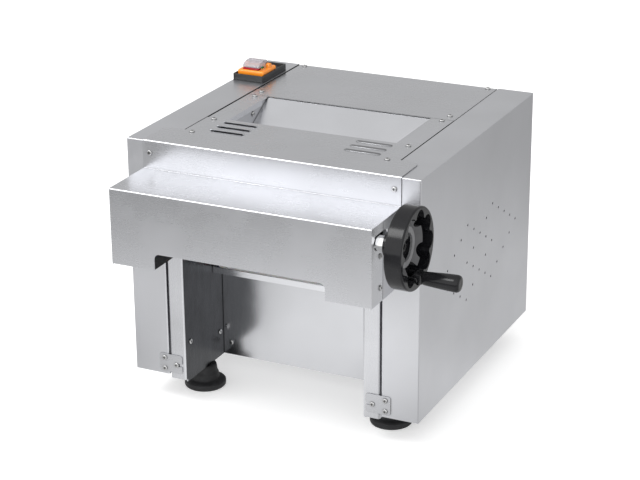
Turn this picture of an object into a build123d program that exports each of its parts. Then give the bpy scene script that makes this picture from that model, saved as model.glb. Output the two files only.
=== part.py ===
from build123d import *
from math import sin, cos, pi, tan, acos, atan2, radians, degrees, hypot
import os

# Bench dough sheeter. Dough goes in at the top hopper, between two rolls, and out at the front recess.
# Millimetres, +Z up, front towards -Y. The model is laid out with X = 0 on the middle of the casing,
# Y = 0 on its front face and Z = 0 on the bench, and is moved on export so that the origin is the
# middle of the whole machine's footprint.

# Casing
CASE_HALF = 250.0
CASE_DEPTH = 490.0
CASE_BOTTOM = 50.0
CASE_TOP = 446.0
CASE_LAP = 187.0
SHEET = 1.5
SEAM = 0.8
BEND = 0.6
EDGE_ROUND = 1.4
LAP_ROUND = 0.8
BOTTOM_RETURN = 25.0
VENT_R = 2.1

# Inner frame and recess
FRAME_HALF = 157.0
FRAME_SHEET = 2.5
FRAME_BOTTOM = 40.0
LEG_HALF = 185.0
LEG_BOTTOM = 44.5
LEG_RETURN = 18.0
LEG_TOP = 272.0
RECESS_DEPTH = 130.0
PLATE_FRONT = 28.0
PLATE_LIP = 6.0
FRAME_REAR = 484.0
RAIL_THICK = 3.0
TIE_BARS = ((478.0, 70.0, 6.0), (470.0, 405.0, 7.0), (255.0, 345.0, 7.0))

# Front cover and hood
HOOD_HALF = 219.0
HOOD_REACH = 108.0
HOOD_TOP = 401.0
HOOD_BOTTOM = 278.0
NOTCH_HALF = 144.0
NOTCH_TOP = 305.0
COVER_LAP = 70.0
HOOD_RETURN = 40.0
CHEEK_PLATE_X = 145.0
CHEEK_FLANGE = 14.0
CHEEK_TOP = 340.0

# Hopper
PANEL_HALF = 185.5
HOPPER_HALF = 147.0
LEFT_EDGE = -183.6
HOPPER_FRONT = 147.0
HOPPER_BACK = 288.0
PANEL_BACK = 289.5
LIP_DROP = 9.0
THROAT_BACK = 158.0
THROAT_FRONT = 116.0
THROAT_BOTTOM = 320.0
CHUTE_FRONT = 145.3
FRONT_BEND = (145.3, 422.0)
FRONT_FOOT = (116.0, 352.0)
BACK_BEND = (190.0, 390.3)
BACK_FOOT = (158.0, 342.0)

# Rolls and gap
ROLL_R = 40.5
ROLL_HALF = 147.0
JOURNAL_R = 12.5
BEARING_SEAT_R = 18.5
BEARING_R = 18.0
SHAFT_END = 192.0
NIP_Z = 300.0
REAR_ROLL_Y = 180.0
GAP_OPEN = 8.5
GAP_TRAVEL = 8.0
FRONT_ROLL_Y = REAR_ROLL_Y - 2 * ROLL_R - GAP_OPEN
FIT = 0.05
SLIDE_FIT = 0.35

# Gears
ROLL_GEAR_MODULE = 5.0
ROLL_GEAR_TEETH = 16
ROLL_GEAR_IN = 174.0
ROLL_GEAR_OUT = 190.0
DRIVE_IN = 176.0
DRIVE_OUT = 190.0
DRIVE_MODULE = 3.0
DRIVE_TEETH = 75
PINION_TEETH = 20
BEVEL_MODULE = 2.0
BEVEL_TEETH = 16

# Gap adjuster
SHAFT_Y = -87.5
SHAFT_Z = 374.5
SHAFT_R = 8.0
SLOT_R = 12.0
SLOT_BACK = -60.0
SCREW_R = 6.0

# Handwheel and its folding handle
WHEEL_R = 62.5
WHEEL_BACK = 255.0
WHEEL_FACE = 282.0
WHEEL_WEB = 261.0
GROOVE_FLOOR = 256.8
GROOVE_R = 38.0
HUB_R = 18.0
RING_R = 31.0
SOCKET_R = 22.0
HANDLE_DY = 7.5
HANDLE_DZ = -46.4
POCKET_R = 16.0
POCKET_AT = 42.0
FOLD_X = 278.0
GRIP_END = 346.0

HANDLE_TILT = atan2(-HANDLE_DY, -HANDLE_DZ)
HANDLE_ANGLE = atan2(HANDLE_DZ, HANDLE_DY)
LOBES = 9
LOBE_HOLLOW = 47.0
LOBE_AT = 43.5
LOBE_R = 14.0

# Carriage of the front roll
BLOCK_IN = 151.0
BLOCK_Y = 25.0
BLOCK_Z = 26.0
ARM_IN = 163.5
ARM_OUT = 171.5
BEAM_FRONT = -61.0
BEAM_BACK = -49.0

# Drive
PINION_ANGLE = radians(-67.5)
PINION_RADIUS = DRIVE_MODULE * (DRIVE_TEETH + PINION_TEETH) / 2
PINION_Y = REAR_ROLL_Y + PINION_RADIUS * cos(PINION_ANGLE)
PINION_Z = NIP_Z + PINION_RADIUS * sin(PINION_ANGLE)
PINION_SHAFT_R = 9.0
PINION_HOLE_R = 14.0
MOTOR_X = 86.0
MOTOR_Z = 128.0
MOTOR_R = 52.0
MOTOR_FLANGE_R = 58.0
MOTOR_FINS = 36
GEARBOX_IN = 45.0
GEARBOX_OUT = 145.0
GEARBOX_HALF = 50.0

# Feet, louvres, rear panel and switch
FOOT_X = 169.0
FOOT_YS = (84.0, 430.0)
FOOT_R = 33.0
FOOT_TALL = 39.5
STUD_R = 5.0
LOUVRE_X = 117.0
LOUVRE_YS = (86.0, 108.0, 131.0)
LOUVRE_LEN = 59.0
LOUVRE_WIDE = 7.5
REAR_HALF = 186.2
GLAND_X = -110.0
GLAND_Z = 95.0
GLAND_BORE_R = 4.5
GLAND_R = 8.0
GLAND_NUT_R = 12.5
REAR_SLOT_XS = (60.0, 130.0)
REAR_SLOT_Z = 110.0
REAR_SLOT_PITCH = 16.0
REAR_SLOT_LEN = 60.0
REAR_SLOT_WIDE = 6.0
SWITCH_FLOOR = 452.5
SWITCH_RIM = 457.0
SWITCH_TOP = 463.0
STOP_Y = 374.5
START_Y = 387.0
BUTTON_HALF = 14.5
FLAP_X = -221.5
FLAP_LEFT = -236.1
FLAP_RIGHT = -204.5
FLAP_Y = 397.0
FLAP_TALL = 8.0
FLAP_Z = 468.5

# Overall box, used to centre the footprint
GLAND_REACH = 20.0
CENTRE_X = (GRIP_END - CASE_HALF) / 2
CENTRE_Y = (CASE_DEPTH + GLAND_REACH + SHAFT_Y - WHEEL_R) / 2

# Screws
HEAD_R = 4.2
HEAD_H = 2.2
SHANK_R = 2.0
SHANK_LEN = 5.0
HOLE_GAP = 0.1

os.makedirs("parts", exist_ok=True)


def save(name, shape):
    """Write one sub-part, moved so that the footprint is centred on the origin."""
    export_step(Pos(-CENTRE_X, -CENTRE_Y, 0) * shape, "parts/" + name + ".step")


def block(x0, x1, y0, y1, z0, z1):
    """Box between two corners."""
    return Pos((x0 + x1) / 2, (y0 + y1) / 2, (z0 + z1) / 2) * Box(abs(x1 - x0), abs(y1 - y0), abs(z1 - z0))


def rod(start, along, length, radius):
    """Round bar from a start point, along a unit direction."""
    plane = Plane(origin=start, z_dir=along)
    return extrude(plane * Circle(radius), amount=length)


def flip(shape):
    """The same piece on the other side of the machine."""
    return mirror(shape, about=Plane.YZ)


def pair(shape):
    """A piece with its mirror image, as separate solids."""
    return Compound(children=[*shape.solids(), *flip(shape).solids()])


def group(shapes):
    """Separate solids kept in one sub-part."""
    return Compound(children=[solid for shape in shapes for solid in shape.solids()])


def strip(path, thick, bend=BEND):
    """Section of a folded sheet: one side follows the path, the other lies to its left."""
    steps = [(path[i + 1][0] - path[i][0], path[i + 1][1] - path[i][1]) for i in range(len(path) - 1)]
    unit = [(dx / hypot(dx, dy), dy / hypot(dx, dy)) for dx, dy in steps]
    normal = [(-dy, dx) for dx, dy in unit]
    other = [(path[0][0] + thick * normal[0][0], path[0][1] + thick * normal[0][1])]
    rounds = []
    for i in range(1, len(path) - 1):
        (ax, ay), (bx, by) = normal[i - 1], normal[i]
        scale = thick / (1 + ax * bx + ay * by)
        corner = (path[i][0] + scale * (ax + bx), path[i][1] + scale * (ay + by))
        other.append(corner)
        left_turn = unit[i - 1][0] * unit[i][1] - unit[i - 1][1] * unit[i][0] > 0
        rounds.append((corner if left_turn else path[i], bend))
        rounds.append((path[i] if left_turn else corner, bend + thick))
    other.append((path[-1][0] + thick * normal[-1][0], path[-1][1] + thick * normal[-1][1]))
    face = make_face(Polyline(*path, *reversed(other), close=True))
    for point, radius in rounds:
        vertex = face.vertices().sort_by_distance((point[0], point[1], 0))[0]
        face = fillet(vertex, radius)
    return face


def across(face, x0, x1):
    """Extrude a Y-Z section across the machine."""
    return Pos(x0, 0, 0) * extrude(Plane.YZ * face, amount=x1 - x0)


def upright(face, z0, z1):
    """Extrude an X-Y section upwards."""
    return Pos(0, 0, z0) * extrude(face, amount=z1 - z0)


def lengthwise(face, y0, y1):
    """Extrude an X-Z section from front to back."""
    section = Plane(origin=(0, 0, 0), x_dir=(1, 0, 0), z_dir=(0, -1, 0)) * face
    return Pos(0, y0, 0) * extrude(section, amount=y0 - y1)


def place(shape, spot, out):
    """Put a piece built upwards from the origin at a spot, facing out."""
    return Plane(origin=spot, z_dir=out) * shape


def pan_screw():
    """Cross-head pan screw standing on z = 0 with its shank below."""
    head = extrude(Circle(HEAD_R), amount=HEAD_H)
    head = fillet(head.edges().group_by(Axis.Z)[-1], HEAD_H * 0.55)
    recess = HEAD_H * 0.6
    cross = Box(HEAD_R, HEAD_R * 0.28, recess) + Box(HEAD_R * 0.28, HEAD_R, recess)
    head -= Pos(0, 0, HEAD_H - recess / 2) * cross
    return head + extrude(Circle(SHANK_R), amount=-SHANK_LEN)


PAN_SCREW = pan_screw()


def screws(spots, out):
    """One screw on every spot."""
    return [place(PAN_SCREW, spot, out) for spot in spots]


def drill(shape, spots, out, depth=8.0):
    """Clearance holes for the shanks of a row of screws."""
    hole = Pos(0, 0, 1 - depth / 2) * Cylinder(SHANK_R + HOLE_GAP, depth)
    for spot in spots:
        shape -= place(hole, spot, out)
    return shape


def both_sides(spots):
    """Screw positions on the right, and their mirror images."""
    return [*spots, *[(-x, y, z) for x, y, z in spots]]


def right_of(spots):
    return [spot for spot in spots if spot[0] > 0]


UP = (0, 0, 1)
FRONT = (0, -1, 0)
REAR = (0, 1, 0)
RIGHT = (1, 0, 0)
LEFT = (-1, 0, 0)

# Screw positions, on the surface each head stands on
COVER_TOP = CASE_TOP + SHEET
REAR_FACE = CASE_DEPTH - SHEET
CHEEK_X = HOPPER_HALF + SHEET + 0.1
RISER_SPOTS = both_sides([(208.0, -SHEET, 427.0)])
COVER_SPOTS = both_sides([(168.0, 64.0, COVER_TOP)])
PANEL_SPOTS = both_sides([(170.0, 141.0, CASE_TOP), (168.5, 282.0, CASE_TOP)])
REAR_COVER_SPOTS = both_sides([(171.0, 311.0, CASE_TOP), (172.0, 480.0, CASE_TOP)])
LATCH_CASE_SPOTS = both_sides([(195.0, -SHEET, 79.0), (195.0, -SHEET, 60.6)])
LATCH_LEG_SPOTS = both_sides([(173.5, -SHEET, 69.0)])
HOOD_SPOTS = [(HOOD_HALF, -77.0, 350.0), (HOOD_HALF, -77.0, 300.0)]
RECESS_SPOTS = [(FRAME_HALF, 17.0, 107.0), (FRAME_HALF, 117.0, 84.0)]
BACK_SPOTS = both_sides([(143.0, RECESS_DEPTH, 62.0)])
CHEEK_SPOTS = [(CHEEK_X, 235.0, 431.0)]
REAR_SPOTS = both_sides([(172.0, REAR_FACE, 62.0), (172.0, REAR_FACE, 250.0), (172.0, REAR_FACE, 425.0)])


def casing():
    """Right side casing: one folded sheet with returns on its front, top, rear and bottom."""
    edge = CASE_LAP + 1
    path = [(edge, LEG_RETURN), (edge, 0), (CASE_HALF, 0), (CASE_HALF, CASE_DEPTH), (edge, CASE_DEPTH)]
    shell = upright(strip(path, SHEET), CASE_BOTTOM, CASE_TOP - SHEET / 2)
    inside = CASE_HALF - SHEET / 2
    shell += block(CASE_LAP, CASE_HALF, 0, CASE_DEPTH, CASE_TOP - SHEET, CASE_TOP)
    folds = shell.edges().group_by(Axis.Z)[-1].filter_by_position(Axis.X, CASE_LAP + 1, CASE_HALF + 1)
    shell = fillet(folds.filter_by(Axis.X).group_by(Axis.Y)[0] + folds.filter_by(Axis.Y), EDGE_ROUND)
    shell += block(CASE_LAP, CASE_LAP + SHEET, 0, CASE_DEPTH, CASE_TOP - LEG_RETURN, CASE_TOP)
    lap = shell.edges().group_by(Axis.Z)[-1].filter_by(Axis.Y).sort_by(Axis.X)[0]
    shell = fillet(lap, LAP_ROUND)
    shell += block(inside - BOTTOM_RETURN, inside, SHEET / 2, CASE_DEPTH - SHEET / 2,
                   CASE_BOTTOM, CASE_BOTTOM + SHEET)
    return shell


def vent_spots():
    """Cooling holes on a diamond grid: the outlines of two overlapping diamonds."""
    pitch_y, pitch_z, first_y, first_z = 27.7, 15.9, 111.8, 309.8
    return [(CASE_HALF, first_y + pitch_y * i, first_z - pitch_z * j) for i in range(12) for j in range(9)
            if 4 in (abs(i - 3) + abs(j - 4), abs(i - 7) + abs(j - 4))]


def side_casings():
    right = casing()
    for spot in vent_spots():
        right -= place(Cylinder(VENT_R, 8), spot, RIGHT)
    right = drill(right, right_of(RISER_SPOTS + LATCH_CASE_SPOTS), FRONT)
    save("right_casing", right)
    save("left_casing", flip(right))


def side_plates():
    """Frame sides: folded sheets whose front flanges are the front legs, with windows for the rolls."""
    inner, outer, top = FRAME_HALF, FRAME_HALF + FRAME_SHEET, CASE_TOP - SHEET
    rear = REAR_FACE - SHEET
    plate = block(inner, outer, PLATE_FRONT, rear, FRAME_BOTTOM, top)
    plate += block(inner, outer, PLATE_LIP, PLATE_FRONT, LEG_TOP, top)
    plate += block(inner, outer, PLATE_LIP, PLATE_FRONT, FRAME_BOTTOM, LEG_BOTTOM)
    leg = [(inner, PLATE_FRONT), (inner, 0), (LEG_HALF, 0), (LEG_HALF, LEG_RETURN)]
    plate += upright(strip(leg, FRAME_SHEET), LEG_BOTTOM, LEG_TOP)
    plate += block(inner, LEG_HALF - 1, COVER_LAP - 20, rear, top - FRAME_SHEET, top)
    plate += block(inner, LEG_HALF - 1, rear - FRAME_SHEET, rear, LEG_BOTTOM, top)
    front, back = FRONT_ROLL_Y - BLOCK_Y - 1, FRONT_ROLL_Y + BLOCK_Y + GAP_TRAVEL + 1
    slide_half = BLOCK_Z + SLIDE_FIT
    plate -= block(inner - 1, outer + 1, front, back, NIP_Z - slide_half, NIP_Z + slide_half)
    plate -= rod((inner - 1, REAR_ROLL_Y, NIP_Z), RIGHT, 5, BEARING_SEAT_R)
    plate = drill(plate, RECESS_SPOTS, LEFT)
    plate = drill(plate, right_of(LATCH_LEG_SPOTS), FRONT)
    plate = drill(plate, right_of(PANEL_SPOTS + REAR_COVER_SPOTS + COVER_SPOTS), UP)
    plate = drill(plate, right_of(REAR_SPOTS), REAR)
    left = flip(plate)
    plate -= rod((inner - 1, PINION_Y, PINION_Z), RIGHT, 5, PINION_HOLE_R)
    save("right_side_plate", plate)
    save("left_side_plate", left)


def base():
    """Bottom rails, rear tray, feet and their studs, and the tie bars between the side plates."""
    rail = block(FRAME_HALF + FRAME_SHEET + 0.1, LEG_HALF - FRAME_SHEET - 0.1, 3, FRAME_REAR,
                 LEG_BOTTOM, LEG_BOTTOM + RAIL_THICK)
    for y in FOOT_YS:
        rail -= Pos(FOOT_X, y, LEG_BOTTOM) * Cylinder(STUD_R + 0.5, 20)
    save("base_rails", pair(rail))
    tray_half = FRAME_HALF - 0.5
    tray_path = [(-tray_half, 58), (-tray_half, 40), (tray_half, 40), (tray_half, 58)]
    save("base_tray", lengthwise(strip(tray_path, SHEET), RECESS_DEPTH + 21, FRAME_REAR))
    section = Polyline((0, 0), (FOOT_R - 2, 0), (FOOT_R, 2), (FOOT_R, 10), (25, 14), (25, 22), (21, 26),
                       (18, FOOT_TALL), (0, FOOT_TALL), close=True)
    foot = revolve(Plane.XZ * make_face(section), axis=Axis.Z) - Pos(0, 0, 30) * Cylinder(STUD_R + FIT, 46)
    foot -= Pos(0, 0, 2) * Cylinder(12, 4)
    stud = Pos(0, 0, 29) * Cylinder(STUD_R, 42) + Pos(0, 0, FOOT_TALL + 2.4) * Cylinder(9, 4.6)
    stud += Pos(0, 0, 52) * (extrude(RegularPolygon(8.5, 6), amount=4, both=True))
    spots = [(x, y) for x in (-FOOT_X, FOOT_X) for y in FOOT_YS]
    save("feet", group([Pos(x, y, 0) * foot for x, y in spots]))
    save("foot_studs", group([Pos(x, y, 0) * stud for x, y in spots]))
    bars = [rod((-FRAME_HALF, y, z), RIGHT, 2 * FRAME_HALF, r) for y, z, r in TIE_BARS]
    save("tie_bars", group(bars))


def recess():
    """Back panel of the front recess and the exit chute above it."""
    half = FRAME_HALF - 0.5
    path = [(RECESS_DEPTH, 222), (RECESS_DEPTH, 39), (RECESS_DEPTH + 20, 39)]
    panel = drill(across(strip(path, SHEET), -half, half), BACK_SPOTS, FRONT)
    save("recess_back_panel", panel)
    chute = [(150, 236), (97, 208), (97, 198)]
    save("exit_chute", across(strip(chute, SHEET), -half, half))


def hood():
    """Front cover: a folded sheet over the casing tops, down the front and out into the hood."""
    path = [(COVER_LAP, COVER_TOP), (-SHEET, COVER_TOP), (-SHEET, HOOD_TOP), (-HOOD_REACH, HOOD_TOP),
            (-HOOD_REACH, HOOD_BOTTOM)]
    cover = across(strip(path, SHEET), -HOOD_HALF, HOOD_HALF)
    corners = cover.edges().filter_by(Axis.Z).group_by(Axis.Y)[-1]
    cover = fillet(corners, 15)
    side = block(HOOD_HALF - SHEET, HOOD_HALF, -HOOD_REACH + 0.4, -HOOD_REACH + HOOD_RETURN,
                 HOOD_BOTTOM - 1, HOOD_TOP - 0.4)
    slot = across(Pos((SHAFT_Y + SLOT_BACK) / 2, SHAFT_Z) *
                  SlotCenterToCenter(SLOT_BACK - SHAFT_Y, 2 * SLOT_R), HOOD_HALF - 8, HOOD_HALF + 2)
    cover += side + flip(side)
    cover -= slot
    notch = Pos(0, HOOD_BOTTOM - 20) * RectangleRounded(2 * NOTCH_HALF, 2 * (NOTCH_TOP - HOOD_BOTTOM + 20), 9)
    cover -= Pos(0, -HOOD_REACH - 2, 0) * extrude(Plane.XZ * notch, amount=-6)
    cover = drill(drill(cover, RISER_SPOTS, FRONT), COVER_SPOTS, UP)
    cover = drill(drill(cover, HOOD_SPOTS, RIGHT), [(-x, y, z) for x, y, z in HOOD_SPOTS], LEFT)
    save("front_cover", cover)
    # End plates close the hood behind its returns, with the shaft slot through the right one
    inner = HOOD_HALF - SHEET
    plate = block(inner, HOOD_HALF, -HOOD_REACH + HOOD_RETURN + 1.2, -0.2,
                  HOOD_BOTTOM - 1, HOOD_TOP - SHEET - 0.2)
    plate += block(inner - SHEET, inner, -HOOD_REACH + 6, -0.2, HOOD_BOTTOM, HOOD_TOP - SHEET - 0.2)
    plate = drill(plate, HOOD_SPOTS, RIGHT)
    # Cheeks run back from the sides of the notch, below the carriage beam
    cheek_path = [(CHEEK_PLATE_X, -0.3), (CHEEK_PLATE_X, -HOOD_REACH + SHEET + 0.1),
                  (CHEEK_PLATE_X + CHEEK_FLANGE, -HOOD_REACH + SHEET + 0.1)]
    cheek = upright(strip(cheek_path, SHEET), HOOD_BOTTOM, CHEEK_TOP)
    save("hood_end_plates", group([plate - slot, flip(plate), cheek, flip(cheek)]))


def hopper():
    """Top panel with its louvres and opening, and the folded hopper below it."""
    panel = block(-PANEL_HALF, PANEL_HALF, 4, PANEL_BACK, CASE_TOP - SHEET, CASE_TOP)
    panel -= block(-HOPPER_HALF, HOPPER_HALF, HOPPER_FRONT, HOPPER_BACK, CASE_TOP - 9, CASE_TOP + 1)
    panel -= block(-PANEL_HALF - 1, LEFT_EDGE, HOPPER_FRONT, PANEL_BACK + 1, CASE_TOP - 9, CASE_TOP + 1)
    flange = block(HOPPER_HALF, HOPPER_HALF + SHEET, HOPPER_FRONT, HOPPER_BACK - 22, CASE_TOP - LIP_DROP,
                   CASE_TOP - SHEET / 2)
    panel += flange + flip(flange)
    louvre = extrude(SlotOverall(LOUVRE_LEN, LOUVRE_WIDE), amount=10, both=True)
    for y in LOUVRE_YS:
        for x in (-LOUVRE_X, LOUVRE_X):
            panel -= Pos(x, y, CASE_TOP) * louvre
    panel = drill(panel, PANEL_SPOTS + COVER_SPOTS, UP)
    save("hopper_panel", panel)
    ceiling = CASE_TOP - SHEET - 0.1
    back_top, front_top = (HOPPER_BACK - 0.3, ceiling), (CHUTE_FRONT, ceiling)
    back = across(strip([back_top, BACK_BEND, BACK_FOOT], SHEET), -CHEEK_X, CHEEK_X)
    front = across(strip([front_top, FRONT_BEND, FRONT_FOOT], SHEET), -CHEEK_X, CHEEK_X)
    outline = Polyline(front_top, back_top, BACK_BEND, BACK_FOOT, (THROAT_BACK, THROAT_BOTTOM),
                       (THROAT_FRONT, THROAT_BOTTOM), FRONT_FOOT, FRONT_BEND, close=True)
    cheek = drill(across(make_face(outline), CHEEK_X, CHEEK_X + SHEET), CHEEK_SPOTS, LEFT)
    save("hopper_chute", back + front + cheek + flip(cheek))


def rear():
    """Rear top cover, rear panel with its louvres, and the cable gland."""
    cover = block(LEFT_EDGE, REAR_HALF, PANEL_BACK + SEAM, REAR_FACE - SHEET - 0.5, CASE_TOP - SHEET, CASE_TOP)
    save("rear_top_cover", drill(cover, REAR_COVER_SPOTS, UP))
    panel = block(-REAR_HALF, REAR_HALF, REAR_FACE - SHEET, REAR_FACE, CASE_BOTTOM, CASE_TOP - SHEET - 0.3)
    slot = extrude(Plane.XZ * SlotOverall(REAR_SLOT_LEN, REAR_SLOT_WIDE), amount=6, both=True)
    for x in REAR_SLOT_XS:
        for row in range(6):
            panel -= Pos(x, REAR_FACE, REAR_SLOT_Z + REAR_SLOT_PITCH * row) * slot
    panel -= rod((GLAND_X, REAR_FACE - 6, GLAND_Z), REAR, 12, GLAND_R + HOLE_GAP)
    save("rear_panel", drill(panel, REAR_SPOTS, REAR))
    end = CASE_DEPTH + GLAND_REACH
    gland = rod((GLAND_X, REAR_FACE - 12, GLAND_Z), REAR, 30, GLAND_R)
    nut = Plane(origin=(GLAND_X, REAR_FACE, GLAND_Z), z_dir=REAR) * extrude(
        RegularPolygon(GLAND_NUT_R, 6), amount=6)
    dome = rod((GLAND_X, REAR_FACE + 6, GLAND_Z), REAR, end - REAR_FACE - 6, GLAND_NUT_R - 1.5)
    dome = fillet(dome.edges().group_by(Axis.Y)[-1], 4)
    lock_nut = Plane(origin=(GLAND_X, REAR_FACE - SHEET - 4, GLAND_Z), z_dir=REAR) * extrude(
        RegularPolygon(GLAND_NUT_R, 6), amount=4)
    gland = gland + nut + dome + lock_nut
    gland -= rod((GLAND_X, REAR_FACE - 20, GLAND_Z), REAR, 60, GLAND_BORE_R)
    save("cable_gland", gland)


def latches():
    """Plates that hook each casing's lower corner to the leg."""
    plate = Pos(183.5, 70.5) * RectangleRounded(41, 31, 4)
    plate -= Pos(163, 69) * Rectangle(21, 5)
    plate -= Pos(173.5, 69) * Circle(2.5)
    plate = extrude(Plane.XZ * plate, amount=SHEET)
    save("latch_plates", pair(drill(plate, right_of(LATCH_CASE_SPOTS), FRONT)))


def all_screws():
    """Screws, grouped by where they are."""
    mirrored = [(-x, y, z) for x, y, z in HOOD_SPOTS]
    save("front_screws", group(screws(RISER_SPOTS, FRONT) + screws(HOOD_SPOTS, RIGHT) + screws(mirrored, LEFT)))
    save("top_screws", group(screws(COVER_SPOTS + PANEL_SPOTS + REAR_COVER_SPOTS, UP)))
    save("latch_screws", group(screws(LATCH_CASE_SPOTS + LATCH_LEG_SPOTS, FRONT)))
    left_recess = [(-x, y, z) for x, y, z in RECESS_SPOTS]
    left_cheek = [(-x, y, z) for x, y, z in CHEEK_SPOTS]
    inside = screws(RECESS_SPOTS + CHEEK_SPOTS, LEFT) + screws(left_recess + left_cheek, RIGHT)
    save("recess_screws", group(inside + screws(BACK_SPOTS, FRONT)))
    save("rear_screws", group(screws(REAR_SPOTS, REAR)))


def gear_face(module, teeth, addendum, dedendum, thinning, phase, flank=4):
    """Involute gear outline with a 20 degree pressure angle, one tooth centred on the phase angle."""
    pressure = radians(20)
    pitch_r = module * teeth / 2
    base_r = pitch_r * cos(pressure)
    tip_r, root_r = pitch_r + addendum, pitch_r - dedendum
    start_r = max(base_r, root_r)
    at_base = pi / (2 * teeth) - thinning / (2 * pitch_r) + tan(pressure) - pressure
    radii = [start_r + (tip_r - start_r) * k / (flank - 1) for k in range(flank)]
    spread = [(root_r, at_base * 1.05)]
    for r in radii:
        slope = acos(min(1.0, base_r / r))
        spread.append((r, at_base - (tan(slope) - slope)))
    points = []
    for tooth in range(teeth):
        middle = phase + 2 * pi * tooth / teeth
        points += [(r * cos(middle - a), r * sin(middle - a)) for r, a in spread]
        points += [(r * cos(middle + a), r * sin(middle + a)) for r, a in reversed(spread)]
    return make_face(Polyline(*points, close=True))


def spur_gear(face, y, z, x0, x1, bore_r):
    """Gear across the machine, from x0 to x1, on the axis at y, z."""
    gear = Pos(x0, y, z) * extrude(Plane.YZ * (face - Circle(bore_r)), amount=x1 - x0)
    return gear


def bevel_gear(phase, bore_r):
    """Mitre gear with its apex at the origin and its back towards +Z."""
    pitch_r = BEVEL_MODULE * BEVEL_TEETH / 2
    small, cone = pitch_r - 5.0, pitch_r * 2 ** 0.5
    root = tan(pi / 4 - 1.15 * BEVEL_MODULE / cone)
    tip = tan(pi / 4 + 0.75 * BEVEL_MODULE / cone)
    body = Polyline((0, small), (small * root, small), (pitch_r * root, pitch_r), (10, pitch_r),
                    (10, pitch_r + 9), (0, pitch_r + 9), close=True)
    gear = revolve(Plane.XZ * make_face(body), axis=Axis.Z)
    ends = []
    for height in (small, pitch_r):
        k = height / pitch_r
        outline = Polyline((height * root - 0.6 * k, 1.7 * k), (height * tip, 0.6 * k), (height * tip, -0.6 * k),
                           (height * root - 0.6 * k, -1.7 * k), close=True)
        ends.append(Pos(0, 0, height) * make_face(outline))
    tooth = loft(ends)
    for i in range(BEVEL_TEETH):
        gear += Rot(0, 0, degrees(phase) + 360 * i / BEVEL_TEETH) * tooth
    return gear - Cylinder(bore_r, 100)


def rolls():
    """The two rolls with their gears, and the drive pinion on the gearbox."""
    front = rod((-ROLL_HALF, FRONT_ROLL_Y, NIP_Z), RIGHT, 2 * ROLL_HALF, ROLL_R)
    front += rod((-SHAFT_END, FRONT_ROLL_Y, NIP_Z), RIGHT, SHAFT_END + ROLL_GEAR_IN, JOURNAL_R)
    save("front_roll", front)
    back = rod((-ROLL_HALF, REAR_ROLL_Y, NIP_Z), RIGHT, 2 * ROLL_HALF, ROLL_R)
    back += rod((-SHAFT_END, REAR_ROLL_Y, NIP_Z), RIGHT, 2 * SHAFT_END, JOURNAL_R)
    save("rear_roll", back)
    long_tooth, root_depth, thin = 1.3 * ROLL_GEAR_MODULE, 1.3 * ROLL_GEAR_MODULE, 0.8
    half_pitch = pi / ROLL_GEAR_TEETH
    rear_face = gear_face(ROLL_GEAR_MODULE, ROLL_GEAR_TEETH, long_tooth, root_depth, thin, 0)
    front_face = gear_face(ROLL_GEAR_MODULE, ROLL_GEAR_TEETH, long_tooth, root_depth, thin, half_pitch)
    ends = (-ROLL_GEAR_OUT, -ROLL_GEAR_IN)
    save("rear_roll_gear", spur_gear(rear_face, REAR_ROLL_Y, NIP_Z, *ends, JOURNAL_R))
    save("front_roll_gear", spur_gear(front_face, FRONT_ROLL_Y, NIP_Z, *ends, JOURNAL_R))
    m = DRIVE_MODULE
    drive_face = gear_face(m, DRIVE_TEETH, m, 1.25 * m, 0.25, PINION_ANGLE, 3)
    save("drive_gear", spur_gear(drive_face, REAR_ROLL_Y, NIP_Z, DRIVE_IN, DRIVE_OUT, JOURNAL_R))
    pinion_phase = PINION_ANGLE + pi + pi / PINION_TEETH
    pinion_face = gear_face(m, PINION_TEETH, m, 1.25 * m, 0.25, pinion_phase)
    pinion = spur_gear(pinion_face, PINION_Y, PINION_Z, DRIVE_IN, DRIVE_OUT, PINION_SHAFT_R)
    save("output_pinion", pinion + rod((60, PINION_Y, PINION_Z), RIGHT, DRIVE_OUT - 59, PINION_SHAFT_R))


def carriage():
    """Front roll blocks, the arms to the adjusting shaft, the beam between them and the scraper."""
    block_piece = block(BLOCK_IN, ARM_IN, FRONT_ROLL_Y - BLOCK_Y, FRONT_ROLL_Y + BLOCK_Y, NIP_Z - BLOCK_Z,
                        NIP_Z + BLOCK_Z)
    block_piece -= rod((140, FRONT_ROLL_Y, NIP_Z), RIGHT, 40, JOURNAL_R + FIT)
    save("bearing_blocks", pair(block_piece))
    low, high = NIP_Z - BLOCK_Z - 6, NIP_Z + BLOCK_Z + 6
    front, back = FRONT_ROLL_Y - BLOCK_Y, FRONT_ROLL_Y + BLOCK_Y
    outline = Polyline((SHAFT_Y - 14, SHAFT_Z - 14), (SHAFT_Y - 14, SHAFT_Z + 14), (BEAM_BACK + 6, SHAFT_Z + 14),
                       (front, high), (back, high), (back, low), (front, low), (BEAM_BACK, SHAFT_Z - 16), close=True)
    arm = across(make_face(outline), ARM_IN, ARM_OUT)
    arm -= rod((150, FRONT_ROLL_Y, NIP_Z), RIGHT, 30, JOURNAL_R + 0.5)
    arm -= rod((150, SHAFT_Y, SHAFT_Z), RIGHT, 30, SHAFT_R + FIT)
    save("carriage_arms", pair(arm))
    beam = block(-ARM_IN, ARM_IN, BEAM_FRONT, BEAM_BACK, SHAFT_Z - 14, SHAFT_Z + 13)
    beam -= rod((0, BEAM_FRONT - 5, SHAFT_Z), REAR, 40, SCREW_R + FIT)
    save("carriage_beam", beam)
    bar = block(-155, 155, 98, 110, 228, 240)
    bar += block(-BLOCK_IN, BLOCK_IN, 104.3, 105.9, 240, 261)
    hanger = block(BLOCK_IN - 0.01, 155, 98, 110, 239, NIP_Z - BLOCK_Z)
    bar -= block(-ROLL_HALF - 4, -ROLL_HALF - 20, 90, 120, 241, 262)
    save("front_scraper", bar + hanger + flip(hanger))


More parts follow.
